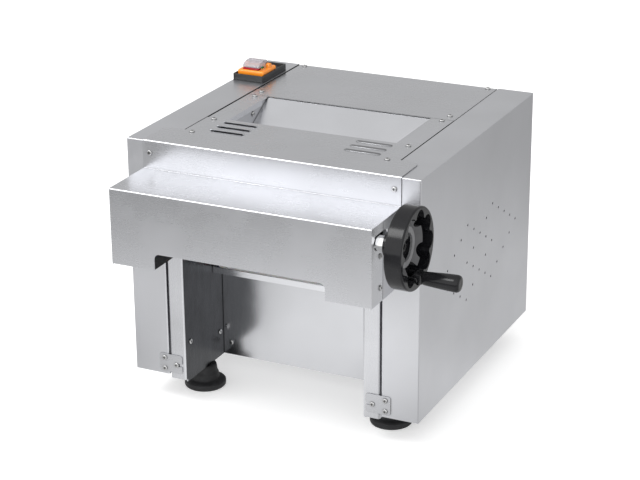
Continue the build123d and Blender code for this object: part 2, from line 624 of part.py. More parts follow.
def fixed_works():
    """Rear roll bearings and scraper, the screw's nut and beam, the gearmotor and its mount."""
    housing = rod((FRAME_HALF + FRAME_SHEET, REAR_ROLL_Y, NIP_Z), RIGHT, 12, 30)
    housing += rod((BLOCK_IN, REAR_ROLL_Y, NIP_Z), RIGHT, 12, BEARING_R)
    housing -= rod((140, REAR_ROLL_Y, NIP_Z), RIGHT, 60, JOURNAL_R + FIT)
    save("rear_roll_bearings", pair(housing))
    blade = block(-FRAME_HALF, FRAME_HALF, 160, 172, 222, 236)
    blade += block(-ROLL_HALF, ROLL_HALF, 164.6, 166.2, 235, 261)
    save("rear_scraper", blade)
    beam = block(-FRAME_HALF, FRAME_HALF, 6, 22, SHAFT_Z - 17, SHAFT_Z + 17)
    beam -= rod((0, 0, SHAFT_Z), REAR, 40, 11)
    save("nut_beam", beam)
    nut = rod((0, 2, SHAFT_Z), REAR, 4, 16) + rod((0, 5, SHAFT_Z), REAR, 21, 11)
    save("screw_nut", nut - rod((0, 0, SHAFT_Z), REAR, 40, SCREW_R + FIT))
    half = GEARBOX_HALF
    gearbox = block(GEARBOX_IN, GEARBOX_OUT, PINION_Y - half, PINION_Y + half, PINION_Z - half, PINION_Z + half)
    gearbox = fillet(gearbox.edges().filter_by(Axis.X), 14)
    gearbox -= rod((40, PINION_Y, PINION_Z), RIGHT, 120, PINION_SHAFT_R + FIT)
    save("gearbox", gearbox)
    mount = block(GEARBOX_OUT, FRAME_HALF, PINION_Y - 60, PINION_Y + 62, PINION_Z - 60, PINION_Z + 60)
    mount -= rod((140, PINION_Y, PINION_Z), RIGHT, 30, PINION_HOLE_R)
    save("motor_mount", mount)
    start = PINION_Y + GEARBOX_HALF
    motor = rod((MOTOR_X, start, MOTOR_Z), REAR, 12, MOTOR_FLANGE_R)
    motor += rod((MOTOR_X, start + 11, MOTOR_Z), REAR, 120, MOTOR_R)
    for i in range(MOTOR_FINS):
        turn = Pos(MOTOR_X, start + 76, MOTOR_Z) * Rot(0, 360 * i / MOTOR_FINS, 0)
        motor += turn * Pos(0, 0, 54) * Box(2, 2 * MOTOR_R, 8)
    motor += rod((MOTOR_X, start + 128, MOTOR_Z), REAR, 52, MOTOR_FLANGE_R)
    save("motor", motor)
    lid = block(MOTOR_X - 34, MOTOR_X + 34, start + 30, start + 104, MOTOR_Z + 58.2, MOTOR_Z + 92)
    save("terminal_box", fillet(lid.edges().filter_by(Axis.Z), 4))


def adjuster():
    """Cross shaft, mitre gears, lead screw, collar and the handwheel with its folding handle."""
    apex = (0, SHAFT_Y, SHAFT_Z)
    save("cross_shaft", rod((-174, SHAFT_Y, SHAFT_Z), RIGHT, 174 + WHEEL_WEB - 3, SHAFT_R))
    save("shaft_bevel", Plane(origin=apex, x_dir=(0, 1, 0), z_dir=RIGHT) * bevel_gear(0, SHAFT_R))
    save("screw_bevel", Plane(origin=apex, x_dir=(1, 0, 0), z_dir=REAR)
         * bevel_gear(pi / BEVEL_TEETH, SCREW_R))
    hub = SHAFT_Y + 13
    screw = rod((0, hub, SHAFT_Z), REAR, 36 - hub, SCREW_R)
    screw += rod((0, BEAM_BACK + 0.4, SHAFT_Z), REAR, 5, 10)
    save("lead_screw", screw)
    collar = Plane(origin=(HOOD_HALF + 1, SHAFT_Y, SHAFT_Z), x_dir=(0, 1, 0), z_dir=RIGHT) * extrude(
        RegularPolygon(SLOT_R, 6), amount=14)
    collar &= fillet(rod((HOOD_HALF + 1, SHAFT_Y, SHAFT_Z), RIGHT, 14, SLOT_R - 0.4).edges(), 1.5)
    save("shaft_collar", collar - rod((200, SHAFT_Y, SHAFT_Z), RIGHT, 60, SHAFT_R))
    axle = Pos(0, SHAFT_Y, SHAFT_Z)
    rim = rod((WHEEL_BACK, 0, 0), RIGHT, WHEEL_FACE - WHEEL_BACK, WHEEL_R)
    rim = fillet(rim.edges(), 2.5)
    lobes = Circle(LOBE_HOLLOW)
    groove = Circle(LOBE_HOLLOW) - Circle(GROOVE_R)
    for i in range(LOBES):
        angle = HANDLE_ANGLE + 2 * pi * i / LOBES
        pit = Pos(LOBE_AT * cos(angle), LOBE_AT * sin(angle)) * Circle(LOBE_R)
        lobes += pit
        if i > 0:
            groove += pit
    at_handle = Pos(POCKET_AT * cos(HANDLE_ANGLE), POCKET_AT * sin(HANDLE_ANGLE)) * Circle(POCKET_R)
    groove = groove - at_handle
    lobes += at_handle
    rim -= Pos(WHEEL_WEB, 0, 0) * extrude(Plane.YZ * lobes, amount=40)
    rim -= Pos(GROOVE_FLOOR, 0, 0) * extrude(Plane.YZ * groove, amount=10)
    rim += rod((HOOD_HALF + 15, 0, 0), RIGHT, WHEEL_BACK - HOOD_HALF - 14, HUB_R)
    rim -= rod((200, 0, 0), RIGHT, 100, SHAFT_R)
    rim -= rod((WHEEL_WEB - 4, 0, 0), RIGHT, 100, SOCKET_R)
    save("handwheel", axle * rim)
    ring = rod((WHEEL_WEB, 0, 0), RIGHT, 3.5, RING_R) - rod((WHEEL_WEB - 1, 0, 0), RIGHT, 9, SOCKET_R)
    save("hub_ring", axle * ring)
    nut = Plane.YZ * extrude(RegularPolygon(9, 6) - Circle(4), amount=2.5)
    save("wheel_nut", axle * Pos(WHEEL_WEB - 3, 0, 0) * nut)


def handle():
    """Folding handle: bracket, knuckle, spindle and turning grip, laid out on the wheel's bottom radius."""
    seat = Pos(0, SHAFT_Y + HANDLE_DY, SHAFT_Z + HANDLE_DZ) * Rot(-degrees(HANDLE_TILT), 0, 0)
    ear = block(WHEEL_WEB, FOLD_X, 8.0, 11.0, -4.5, 4.5) + rod((FOLD_X, 8.0, 0), REAR, 3.0, 4.5)
    bracket = ear + mirror(ear, about=Plane.XZ) + rod((FOLD_X, -11, 0), REAR, 22, 2)
    save("handle_bracket", seat * bracket)
    knuckle = rod((FOLD_X, -7.6, 0), REAR, 15.2, 7.2) + block(FOLD_X, FOLD_X + 10, -7.6, 7.6, -7.2, 7.2)
    knuckle -= rod((FOLD_X, -20, 0), REAR, 40, 2 + FIT)
    knuckle -= block(FOLD_X - 1, FOLD_X + 7, -4, 4, 4.8, 9)
    knuckle -= rod((FOLD_X + 4, 0, 0), RIGHT, 20, 4)
    save("handle_knuckle", seat * knuckle)
    spindle = rod((FOLD_X + 4, 0, 0), RIGHT, GRIP_END - 4 - FOLD_X - 4, 4)
    save("handle_spindle", seat * (spindle + rod((GRIP_END - 4, 0, 0), RIGHT, 2.5, 6)))
    start = FOLD_X + 10.4
    profile = Polyline((start, 0), (start, 9.5), (start + 2, 11), (GRIP_END - 4, 13), (GRIP_END - 1.5, 12.4),
                       (GRIP_END, 10), (GRIP_END, 0), close=True)
    grip = revolve(make_face(profile), axis=Axis.X)
    grip -= rod((start - 1, 0, 0), RIGHT, 100, 4 + FIT)
    grip -= rod((GRIP_END - 4.2, 0, 0), RIGHT, 9, 7)
    save("handle_grip", seat * grip)


def switch():
    """Start and stop switch in its frame, with a clear flap over the start button."""
    x0, x1, y0, y1 = -249.0, -192.0, 356.0, 447.0
    frame = fillet(block(x0, x1, y0, y1, CASE_TOP, SWITCH_RIM).edges().filter_by(Axis.Z), 2)
    frame -= block(x0 + 2.5, x1 - 2.5, y0 + 2.5, y1 - 2.5, SWITCH_FLOOR, SWITCH_RIM + 1)
    spot = (-231.0, y0 + 5.0, SWITCH_FLOOR)
    save("switch_frame", drill(frame, [spot], UP))
    save("switch_screw", place(scale(PAN_SCREW, by=0.6), spot, UP))
    left, right, front, back = -244.5, -194.8, 364.2, 414.4
    body = block(left, right, front, back, SWITCH_FLOOR, SWITCH_TOP)
    body = fillet(body.edges().filter_by(Axis.Z), 3)
    body = chamfer(body.edges().group_by(Axis.Z)[-1], 2)
    middle = FLAP_X
    for y in (STOP_Y, START_Y):
        body -= block(middle - BUTTON_HALF - 0.4, middle + BUTTON_HALF + 0.4, y - 6, y + 6, SWITCH_TOP - 8, 500)
    for a, b in ((left + 1, FLAP_LEFT - 0.3), (FLAP_RIGHT + 0.3, FLAP_RIGHT + 7)):
        lug = block(a, b, FLAP_Y - 5, FLAP_Y + 5, SWITCH_TOP - 3, FLAP_Z)
        body += lug + rod((a, FLAP_Y, FLAP_Z), RIGHT, b - a, 5)
    body -= rod((FLAP_LEFT - 3, FLAP_Y, FLAP_Z), RIGHT, FLAP_RIGHT - FLAP_LEFT + 6, 1.5 + FIT)
    save("switch_body", body)
    buttons = (("stop_button", STOP_Y, SWITCH_TOP + 3.5), ("start_button", START_Y, SWITCH_TOP + 1.5))
    for name, y, top in buttons:
        cap = block(middle - BUTTON_HALF, middle + BUTTON_HALF, y - 5.6, y + 5.6, SWITCH_TOP - 4.5, top)
        save(name, fillet(cap.edges().group_by(Axis.Z)[-1], 1.2))
    shell = block(FLAP_LEFT, FLAP_RIGHT, FLAP_Y - 22, FLAP_Y + 3, FLAP_Z - 1, FLAP_Z + FLAP_TALL)
    shell = fillet(shell.edges().filter_by(Axis.X).group_by(Axis.Z)[-1], 6)
    shell -= block(FLAP_LEFT + 1.4, FLAP_RIGHT - 1.4, FLAP_Y - 20.6, FLAP_Y - 3, FLAP_Z - 2, FLAP_Z + FLAP_TALL - 1.8)
    shell += rod((FLAP_LEFT - 2.5, FLAP_Y, FLAP_Z), RIGHT, FLAP_RIGHT - FLAP_LEFT + 5, 1.5)
    save("switch_flap", shell)


side_casings()
side_plates()
base()
recess()
hood()
hopper()
rear()
latches()
all_screws()
rolls()
carriage()
fixed_works()
adjuster()
handle()
switch()
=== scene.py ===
import bmesh
import bpy
from math import atan2, cos, pi, radians, sin
from mathutils import Matrix, Vector


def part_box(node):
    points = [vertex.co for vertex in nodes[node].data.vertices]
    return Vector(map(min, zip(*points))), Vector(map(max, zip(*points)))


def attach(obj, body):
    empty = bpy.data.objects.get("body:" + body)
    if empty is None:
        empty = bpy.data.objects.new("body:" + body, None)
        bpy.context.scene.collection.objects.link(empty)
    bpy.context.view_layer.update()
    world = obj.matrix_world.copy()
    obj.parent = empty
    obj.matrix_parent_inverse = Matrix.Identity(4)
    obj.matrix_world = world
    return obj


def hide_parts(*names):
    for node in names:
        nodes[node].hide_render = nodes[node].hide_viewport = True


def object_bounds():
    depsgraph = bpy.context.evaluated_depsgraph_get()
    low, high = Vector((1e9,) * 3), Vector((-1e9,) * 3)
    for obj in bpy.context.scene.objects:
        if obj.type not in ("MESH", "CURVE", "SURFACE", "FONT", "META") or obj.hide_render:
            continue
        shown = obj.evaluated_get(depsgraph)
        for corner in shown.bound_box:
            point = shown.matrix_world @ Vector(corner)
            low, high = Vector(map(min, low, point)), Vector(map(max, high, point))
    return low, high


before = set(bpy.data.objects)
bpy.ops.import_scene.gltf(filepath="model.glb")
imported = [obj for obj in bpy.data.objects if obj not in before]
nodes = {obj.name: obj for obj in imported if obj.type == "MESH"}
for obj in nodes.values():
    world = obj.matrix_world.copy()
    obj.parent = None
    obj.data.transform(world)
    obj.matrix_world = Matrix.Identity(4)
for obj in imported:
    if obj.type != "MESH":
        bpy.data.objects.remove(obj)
cad_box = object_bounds()


# ---- Camera ----
# A long lens held above the front right corner of the machine, looking down at about 21 degrees.
camera_data = bpy.data.cameras.new("camera")
camera_data.lens = 107.94
camera_data.clip_end = 40
camera = bpy.data.objects.new("camera", camera_data)
bpy.context.collection.objects.link(camera)
eye = Vector((1.2124, -2.6358, 1.3719))
aim = Vector((0.0437, -0.1937, 0.3326))
level = (aim - eye).to_track_quat("-Z", "Y").to_matrix().to_4x4()
camera.matrix_world = Matrix.Translation(eye) @ level @ Matrix.Rotation(radians(-0.43), 4, "Z")
bpy.context.scene.camera = camera
bpy.context.scene.view_settings.view_transform = "Standard"


# ---- Studio: floor, sky and the sheet that the steel reflects ----
# A white floor under a soft sky that is bright in front and dimmer behind. Polished sheet steel shows what
# lies round it, so a second, glowing sheet under the floor is seen only in reflections. Its glow is a painted
# reflection: dimmer far in front and behind and dimmer to the left, with painted shadow patches just in front
# of the machine.
class Paint:
    """Builds a node material step by step."""

    def __init__(self, name):
        self.material = bpy.data.materials.new(name)
        self.material.use_nodes = True
        self.tree = self.material.node_tree
        self.shader = self.tree.nodes["Principled BSDF"]

    def add(self, kind, **settings):
        node = self.tree.nodes.new("ShaderNode" + kind)
        for key, value in settings.items():
            setattr(node, key, value)
        return node

    def link(self, source, target):
        self.tree.links.new(source, target)

    def base(self, **sockets):
        for key, value in sockets.items():
            self.shader.inputs[key.replace("_", " ").title().replace("Ior", "IOR")].default_value = value

    def place(self, scale=(1, 1, 1), turn=(0, 0, 0), move=(0, 0, 0)):
        """Object coordinates, scaled, turned and moved."""
        mapping = self.add("Mapping")
        mapping.inputs["Scale"].default_value = scale
        mapping.inputs["Rotation"].default_value = turn
        mapping.inputs["Location"].default_value = move
        self.link(self.add("TexCoord").outputs["Object"], mapping.inputs["Vector"])
        return mapping.outputs["Vector"]

    def noise(self, vector, scale, detail=3.0, rough=0.5):
        texture = self.add("TexNoise")
        self.link(vector, texture.inputs["Vector"])
        texture.inputs["Scale"].default_value = scale
        texture.inputs["Detail"].default_value = detail
        texture.inputs["Roughness"].default_value = rough
        return texture.outputs["Fac"]

    def between(self, value, low, high, start=0.3, end=0.7):
        """A value spread from start..end to low..high."""
        spread = self.add("MapRange")
        spread.inputs["From Min"].default_value = start
        spread.inputs["From Max"].default_value = end
        spread.inputs["To Min"].default_value = low
        spread.inputs["To Max"].default_value = high
        self.link(value, spread.inputs["Value"])
        return spread.outputs["Result"]

    def math(self, operation, first, second=0.0):
        """One sum on two values, each an output or a number."""
        step = self.add("Math", operation=operation)
        for socket, value in zip(step.inputs, (first, second)):
            if isinstance(value, float):
                socket.default_value = value
            else:
                self.link(value, socket)
        return step.outputs[0]

    def blend(self, value, first, second, start=0.3, end=0.7):
        """A colour that runs from first to second as value goes from start to end."""
        ramp = self.add("ValToRGB")
        ramp.color_ramp.elements[0].position = start
        ramp.color_ramp.elements[1].position = end
        ramp.color_ramp.elements[0].color = (*first, 1)
        ramp.color_ramp.elements[1].color = (*second, 1)
        self.link(value, ramp.inputs["Fac"])
        return ramp.outputs["Color"]

    def bump(self, height, strength, depth):
        bump = self.add("Bump")
        bump.inputs["Strength"].default_value = strength
        bump.inputs["Distance"].default_value = depth
        self.link(height, bump.inputs["Height"])
        self.link(bump.outputs["Normal"], self.shader.inputs["Normal"])
        return bump

    def within(self, colour, other, limits, axis="X"):
        """The colour, with the other one nearer than limits[1] to the plane at limits[0]."""
        place = self.add("SeparateXYZ")
        self.link(self.place(), place.inputs[0])
        distance = self.math("ABSOLUTE", self.math("SUBTRACT", place.outputs[axis], float(limits[0])))
        return self.mixed(self.between(distance, 1.0, 0.0, limits[1] - 0.0001, limits[1]), colour, other)

    def mixed(self, share, colour, other):
        """The first colour with a share of the other, which is an output or a fixed colour."""
        mixer = self.add("Mix", data_type="RGBA")
        self.link(share, mixer.inputs["Factor"])
        self.link(colour, mixer.inputs[6])
        if isinstance(other, tuple):
            mixer.inputs[7].default_value = (*other, 1)
        else:
            self.link(other, mixer.inputs[7])
        return mixer.outputs[2]

    def painted_gap_shade(self, colour, reach, start=0.25, end=0.85):
        """The colour with painted shade, down to near black, in gaps and corners narrower than reach."""
        hollow = self.add("AmbientOcclusion", samples=4)
        hollow.inputs["Distance"].default_value = reach
        mixer = self.add("Mix", data_type="RGBA", blend_type="MULTIPLY")
        mixer.inputs["Factor"].default_value = 1.0
        self.link(colour, mixer.inputs[6])
        gap_shade = self.blend(hollow.outputs["AO"], (0.03, 0.03, 0.03), (1, 1, 1), start, end)
        self.link(gap_shade, mixer.inputs[7])
        return mixer.outputs[2]

    def colour(self, output):
        self.link(output, self.shader.inputs["Base Color"])

    def rough(self, output):
        self.link(output, self.shader.inputs["Roughness"])


def sheet_on_floor(name, height, material):
    mesh = bpy.data.meshes.new(name)
    shape = bmesh.new()
    bmesh.ops.create_grid(shape, x_segments=1, y_segments=1, size=9.0)
    bmesh.ops.translate(shape, verts=shape.verts, vec=(0, 0, height))
    shape.to_mesh(mesh)
    shape.free()
    plane = bpy.data.objects.new(name, mesh)
    mesh.materials.append(material)
    bpy.context.collection.objects.link(plane)
    return plane


floor_paint = Paint("studio_floor")
floor_paint.base(base_color=(0.8, 0.8, 0.8, 1), roughness=0.9)
floor_paint.base(emission_color=(1, 1, 1, 1), emission_strength=0.42)
floor = sheet_on_floor("studio_floor", 0.0, floor_paint.material)
floor.visible_glossy = False

glow_paint = Paint("reflected_floor")
spot = glow_paint.add("SeparateXYZ")
glow_paint.link(glow_paint.place(), spot.inputs[0])
centred = glow_paint.math("ABSOLUTE", glow_paint.math("ADD", spot.outputs["X"], 0.12))
at_sides = glow_paint.between(centred, 0.0, 1.0, 0.08, 0.3)
coming = glow_paint.between(spot.outputs["Y"], 0.0, 0.5, -0.6, -0.3)
leaving = glow_paint.between(spot.outputs["Y"], 1.0, 0.0, -0.2, 0.1)
# Painted shadow: darker patches just in front of the machine, away from its middle.
reflected_shadow = glow_paint.math("MULTIPLY", at_sides, glow_paint.math("MULTIPLY", coming, leaving))
glow = glow_paint.math("SUBTRACT", 1.0, reflected_shadow)
for falloff in (glow_paint.between(spot.outputs["Y"], 0.42, 0.97, -1.25, -0.75),
                glow_paint.between(spot.outputs["Y"], 1.0, 0.62, -0.3, 0.25),
                glow_paint.between(spot.outputs["Y"], 1.0, 0.7, 0.7, 1.2),
                glow_paint.between(spot.outputs["X"], 0.78, 1.12, -0.75, -0.15)):
    glow = glow_paint.math("MULTIPLY", glow, falloff)
lamp = glow_paint.add("Emission")
glow_paint.link(glow, lamp.inputs["Strength"])
glow_paint.link(lamp.outputs[0], glow_paint.tree.nodes["Material Output"].inputs["Surface"])
glow_floor = sheet_on_floor("reflected_floor", -0.002, glow_paint.material)
glow_floor.visible_camera = False
glow_floor.visible_diffuse = False
glow_floor.visible_shadow = False
glow_floor.visible_transmission = False

world = bpy.data.worlds.new("studio")
world.use_nodes = True
bpy.context.scene.world = world
sky = world.node_tree
facing = sky.nodes.new("ShaderNodeSeparateXYZ")
sky.links.new(sky.nodes.new("ShaderNodeTexCoord").outputs["Generated"], facing.inputs[0])
front_glow = sky.nodes.new("ShaderNodeMapRange")
front_glow.inputs["From Min"].default_value = 0.75
front_glow.inputs["From Max"].default_value = -0.75
front_glow.inputs["To Min"].default_value = 0.55
front_glow.inputs["To Max"].default_value = 1.62
sky.links.new(facing.outputs["Y"], front_glow.inputs["Value"])
sky.links.new(front_glow.outputs["Result"], sky.nodes["Background"].inputs["Strength"])
sky.nodes["Background"].inputs["Color"].default_value = (1.0, 1.0, 1.0, 1)


def softbox(name, place, target, size, power):
    light = bpy.data.lights.new(name, "AREA")
    light.shape = "RECTANGLE"
    light.size, light.size_y = size
    light.energy = power
    lamp_object = bpy.data.objects.new(name, light)
    aim_at = (Vector(target) - Vector(place)).to_track_quat("-Z", "Y").to_matrix().to_4x4()
    lamp_object.matrix_world = Matrix.Translation(place) @ aim_at
    bpy.context.collection.objects.link(lamp_object)


softbox("key_softbox", (-1.2, -1.6, 2.6), (0, 0, 0.3), (1.4, 1.0), 30)


# ---- Sheet steel ----
# Satin stainless sheet, brushed in one direction. The grain is long fine scratches, rolling leaves the sheet
# slightly cloudy, hands leave duller patches, and painted shade darkens every seam and inner corner. Faces
# nearer the middle than an optional limit are painted near black as shade.
middle = cad_box[0][0] + 0.250


def brushed_sheet(name, grain, tone=0.69, gloss=0.27, streak=0.0035, seam=0.0035, painted_shade_within=0.0):
    paint = Paint(name)
    stretch = {"x": (9, 1500, 1500), "y": (1500, 9, 1500), "z": (1500, 1500, 9)}[grain]
    scratches = paint.noise(paint.place(stretch), 1.0, 2.0, 0.5)
    clouds = paint.noise(paint.place(), 5.5, 3.0, 0.55)
    hands = paint.noise(paint.place(move=(3.1, 1.7, 0.6)), 11.0, 4.0, 0.6)
    low, high = tone - 0.03, tone + 0.02
    metal = paint.blend(clouds, (low, low * 1.01, low * 1.045), (high, high * 1.01, high * 1.05))
    # Painted shade: near black on every face nearer the middle than the limit, for the casing returns in the
    # top seams and the inner faces of the hood ends.
    if painted_shade_within:
        metal = paint.within(metal, (0.008, 0.008, 0.009), (middle, painted_shade_within))
    paint.base(metallic=1.0)
    paint.colour(paint.painted_gap_shade(metal, seam))
    grain_gloss = paint.between(scratches, gloss - 0.01, gloss + 0.03)
    hand_gloss = paint.between(hands, -0.02, 0.05, 0.42, 0.7)
    paint.rough(paint.math("ADD", grain_gloss, hand_gloss))
    paint.bump(scratches, streak, 0.0002)
    return paint.material


def finish(material, *names):
    for name in names:
        for slot in nodes[name].material_slots:
            slot.material = material


finish(brushed_sheet("casing_steel", "z", gloss=0.33, painted_shade_within=0.1874), "left_casing", "right_casing")
finish(brushed_sheet("rear_steel", "z"), "rear_panel")
finish(brushed_sheet("cover_steel", "x"), "front_cover", "hopper_panel", "rear_top_cover")
finish(brushed_sheet("hopper_steel", "x", 0.56, 0.32), "hopper_chute")
finish(brushed_sheet("chute_steel", "x", 0.8, 0.2), "exit_chute")
finish(brushed_sheet("recess_steel", "z", 0.66, 0.19, 0.008), "recess_back_panel")
finish(brushed_sheet("latch_steel", "x", 0.62, 0.26), "latch_plates")
finish(brushed_sheet("hood_end_steel", "z", 0.6, 0.3, painted_shade_within=0.17), "hood_end_plates")


# ---- Frame sides ----
# Thicker folded sheet. Its front flanges are the legs. The faces inside the recess are painted near black as
# shade, and painted shade darkens the inner corners.
def frame_sheet(name, inner_face):
    paint = Paint(name)
    scratches = paint.noise(paint.place((1200, 1200, 8)), 1.0, 5.0, 0.65)
    wiped = paint.noise(paint.place((1, 5, 2)), 9.0, 4.0, 0.6)
    legs = paint.blend(wiped, (0.66, 0.667, 0.69), (0.72, 0.727, 0.755))
    # Painted shade for the faces inside the recess.
    recess_shade = paint.blend(wiped, (0.045, 0.047, 0.051), (0.066, 0.069, 0.075))
    paint.base(metallic=1.0)
    paint.colour(paint.painted_gap_shade(paint.within(legs, recess_shade, (inner_face, 0.0003)), 0.003))
    paint.rough(paint.between(scratches, 0.24, 0.31))
    paint.bump(scratches, 0.015, 0.0002)
    return paint.material


finish(frame_sheet("left_frame_steel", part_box("left_side_plate")[1][0]), "left_side_plate")
finish(frame_sheet("right_frame_steel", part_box("right_side_plate")[0][0]), "right_side_plate")


# ---- Inner frame and carriage ----
# Cut plate and bar under the covers: rails, tray, tie bars, beams, roll blocks and the carriage. Mild steel,
# ground on the faces and oiled, with a little bluish scale left from cutting.
def plate_steel(name, tone):
    paint = Paint(name)
    scale_marks = paint.noise(paint.place(), 28.0, 6.0, 0.65)
    grind = paint.noise(paint.place((40, 700, 700)), 1.0, 3.0, 0.6)
    paint.base(metallic=1.0)
    dark = (tone * 0.7, tone * 0.72, tone * 0.78)
    # Painted shade darkens gaps and inner corners.
    paint.colour(paint.painted_gap_shade(paint.blend(scale_marks, dark, (tone,) * 3), 0.002))
    paint.rough(paint.between(grind, 0.3, 0.5))
    paint.bump(grind, 0.08, 0.0002)
    return paint.material


finish(plate_steel("frame_plate", 0.55), "base_rails", "base_tray", "nut_beam", "motor_mount", "tie_bars")
finish(plate_steel("carriage_plate", 0.62), "carriage_arms", "carriage_beam", "bearing_blocks")


# ---- Louvres in the hopper panel ----
# Each slot of the panel has a pressed lip over it, raised from the same sheet. The left three open to the
# front and the right three to the back.
def louvre_lip(shape, centre, length, width, rise, facing):
    made = bmesh.ops.create_uvsphere(shape, u_segments=24, v_segments=12, radius=width / 2)["verts"]
    half = (length - width) / 2
    bmesh.ops.rotate(shape, verts=made, cent=(0, 0, 0), matrix=Matrix.Rotation(radians(90), 3, "Y"))
    right = [v for v in made if v.co.x > 1e-6]
    left = [v for v in made if v.co.x < -1e-6]
    bmesh.ops.translate(shape, verts=right, vec=(half, 0, 0))
    bmesh.ops.translate(shape, verts=left, vec=(-half, 0, 0))
    bmesh.ops.scale(shape, verts=made, vec=(1, 1, 2 * rise / width))
    bmesh.ops.bisect_plane(shape, geom=shape.verts[:] + shape.edges[:] + shape.faces[:], dist=1e-7,
                           plane_co=(0, 0, 0.0001), plane_no=(0, 0, 1), clear_inner=True)
    bmesh.ops.bisect_plane(shape, geom=shape.verts[:] + shape.edges[:] + shape.faces[:], dist=1e-7,
                           plane_co=(0, facing * width * 0.16, 0), plane_no=(0, facing, 0), clear_outer=True)
    bmesh.ops.translate(shape, verts=shape.verts, vec=centre)


def new_piece(name, shape, material, body, slot, *stands_for, smooth=40):
    """Turns a shape into a finished object that rides on a body."""
    for face in shape.faces:
        face.smooth = True
    mesh = bpy.data.meshes.new(name)
    shape.to_mesh(mesh)
    shape.free()
    mesh.set_sharp_from_angle(angle=radians(smooth))
    mesh.materials.append(material)
    piece = bpy.data.objects.new(name, mesh)
    bpy.context.collection.objects.link(piece)
    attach(piece, body)
    if stands_for:
        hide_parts(*stands_for)
    return piece


def add_shape(whole, part):
    """Adds one bmesh to another."""
    spare = bpy.data.meshes.new("spare")
    part.to_mesh(spare)
    part.free()
    whole.from_mesh(spare)
    bpy.data.meshes.remove(spare)


panel_low, panel_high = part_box("hopper_panel")
# The right lips get a far darker tone than the left: painted shade that keeps their bright reflection as dull
# as the panel.
for side, word, tone, rise in ((-1, "left", 0.62, 0.0024), (1, "right", 0.27, 0.0017)):
    lips = bmesh.new()
    for reach in (0.082, 0.104, 0.127):
        lip = bmesh.new()
        spot = (middle + side * 0.117, panel_low[1] + reach, panel_high[2])
        louvre_lip(lip, spot, 0.061, 0.0095, rise, side)
        add_shape(lips, lip)
    bmesh.ops.solidify(lips, geom=lips.faces[:], thickness=0.0006)
    lip_steel = brushed_sheet(word + "_lip_steel", "x", tone, 0.3, 0.03, 0.001)
    new_piece(word + "_louvre_lips", lips, lip_steel, "frame", "stainless")


# ---- Screws and studs ----
# Pan head screws, rolled and nickel plated, so their heads shine like mirrors; painted shade darkens the
# cross recess and the edge round each head.
def plated(name, tone, gloss):
    paint = Paint(name)
    marks = paint.noise(paint.place(), 900.0, 3.0)
    paint.base(metallic=1.0)
    paint.colour(paint.painted_gap_shade(paint.blend(marks, (tone - 0.08,) * 3, (tone,) * 3), 0.0022, 0.45, 0.95))
    paint.rough(paint.between(marks, gloss, gloss + 0.07))
    paint.bump(marks, 0.03, 0.00005)
    return paint.material


finish(plated("screw_plating", 0.6, 0.16), "front_screws", "top_screws", "latch_screws", "recess_screws",
       "rear_screws", "switch_screw", "foot_studs")
finish(plated("collar_plating", 0.9, 0.08), "shaft_collar", "handle_spindle")
finish(plated("blacked_nut", 0.12, 0.3), "wheel_nut")


# ---- Turned steel ----
# The rolls are ground and polished, and the shaft, lead screw and gears are turned or hobbed from bar. Tool
# marks run as fine rings round each axis.
def turned(name, rings, tone, gloss, across=True):
    paint = Paint(name)
    stretch = (rings, 3, 3) if across else (3, rings, 3)
    marks = paint.noise(paint.place(stretch), 1.0, 4.0, 0.6)
    oil = paint.noise(paint.place(), 34.0, 3.0)
    paint.base(metallic=1.0)
    oiled = (tone - 0.07, tone - 0.07, tone - 0.075)
    # Painted shade darkens gaps and inner corners.
    paint.colour(paint.painted_gap_shade(paint.blend(oil, oiled, (tone,) * 3), 0.0015))
    paint.rough(paint.between(marks, gloss, gloss + 0.12))
    paint.bump(marks, 0.06, 0.0001)
    return paint.material


finish(turned("polished_roll", 2400, 0.78, 0.12), "front_roll", "rear_roll")
finish(turned("turned_shaft", 1600, 0.66, 0.2), "cross_shaft", "shaft_bevel")
finish(turned("turned_screw", 1600, 0.66, 0.2, False), "screw_bevel", "lead_screw")
finish(turned("hobbed_gear", 900, 0.55, 0.28), "front_roll_gear", "rear_roll_gear", "drive_gear",
       "output_pinion")
brass_paint = Paint("brass_nut")
brass_marks = brass_paint.noise(brass_paint.place((2, 1400, 2)), 1.0, 4.0)
brass_paint.base(metallic=1.0)
brass_paint.colour(brass_paint.blend(brass_marks, (0.62, 0.43, 0.16), (0.78, 0.58, 0.27)))
brass_paint.rough(brass_paint.between(brass_marks, 0.2, 0.34))
brass_paint.bump(brass_marks, 0.05, 0.0001)
finish(brass_paint.material, "screw_nut")


# ---- Gearmotor and bearings ----
# Cast iron and aluminium housings with a sprayed grey enamel over a rough casting skin.
enamel = Paint("casting_enamel")
skin = enamel.noise(enamel.place(), 420.0, 6.0, 0.6)
wear = enamel.noise(enamel.place(), 22.0, 4.0, 0.6)
enamel.base(metallic=0.0)
# Painted shade darkens gaps and inner corners.
enamel.colour(enamel.painted_gap_shade(enamel.blend(wear, (0.16, 0.17, 0.18), (0.23, 0.24, 0.25)), 0.003))
enamel.rough(enamel.between(skin, 0.38, 0.56))
enamel.bump(skin, 0.25, 0.0004)
finish(enamel.material, "gearbox", "motor", "rear_roll_bearings")


# ---- Scrapers ----
# Milled bars of white food-grade plastic that rest on the rolls, slightly waxy, with faint cutter marks.
wax = Paint("scraper_plastic")
cutter = wax.noise(wax.place((30, 900, 900)), 1.0, 3.0)
wax.base(subsurface_weight=0.1, subsurface_scale=0.002)
# Painted shade darkens gaps and inner corners.
wax.colour(wax.painted_gap_shade(wax.blend(cutter, (0.78, 0.77, 0.73), (0.86, 0.855, 0.82)), 0.002))
wax.rough(wax.between(cutter, 0.38, 0.5))
wax.bump(cutter, 0.08, 0.0002)
finish(wax.material, "front_scraper", "rear_scraper")


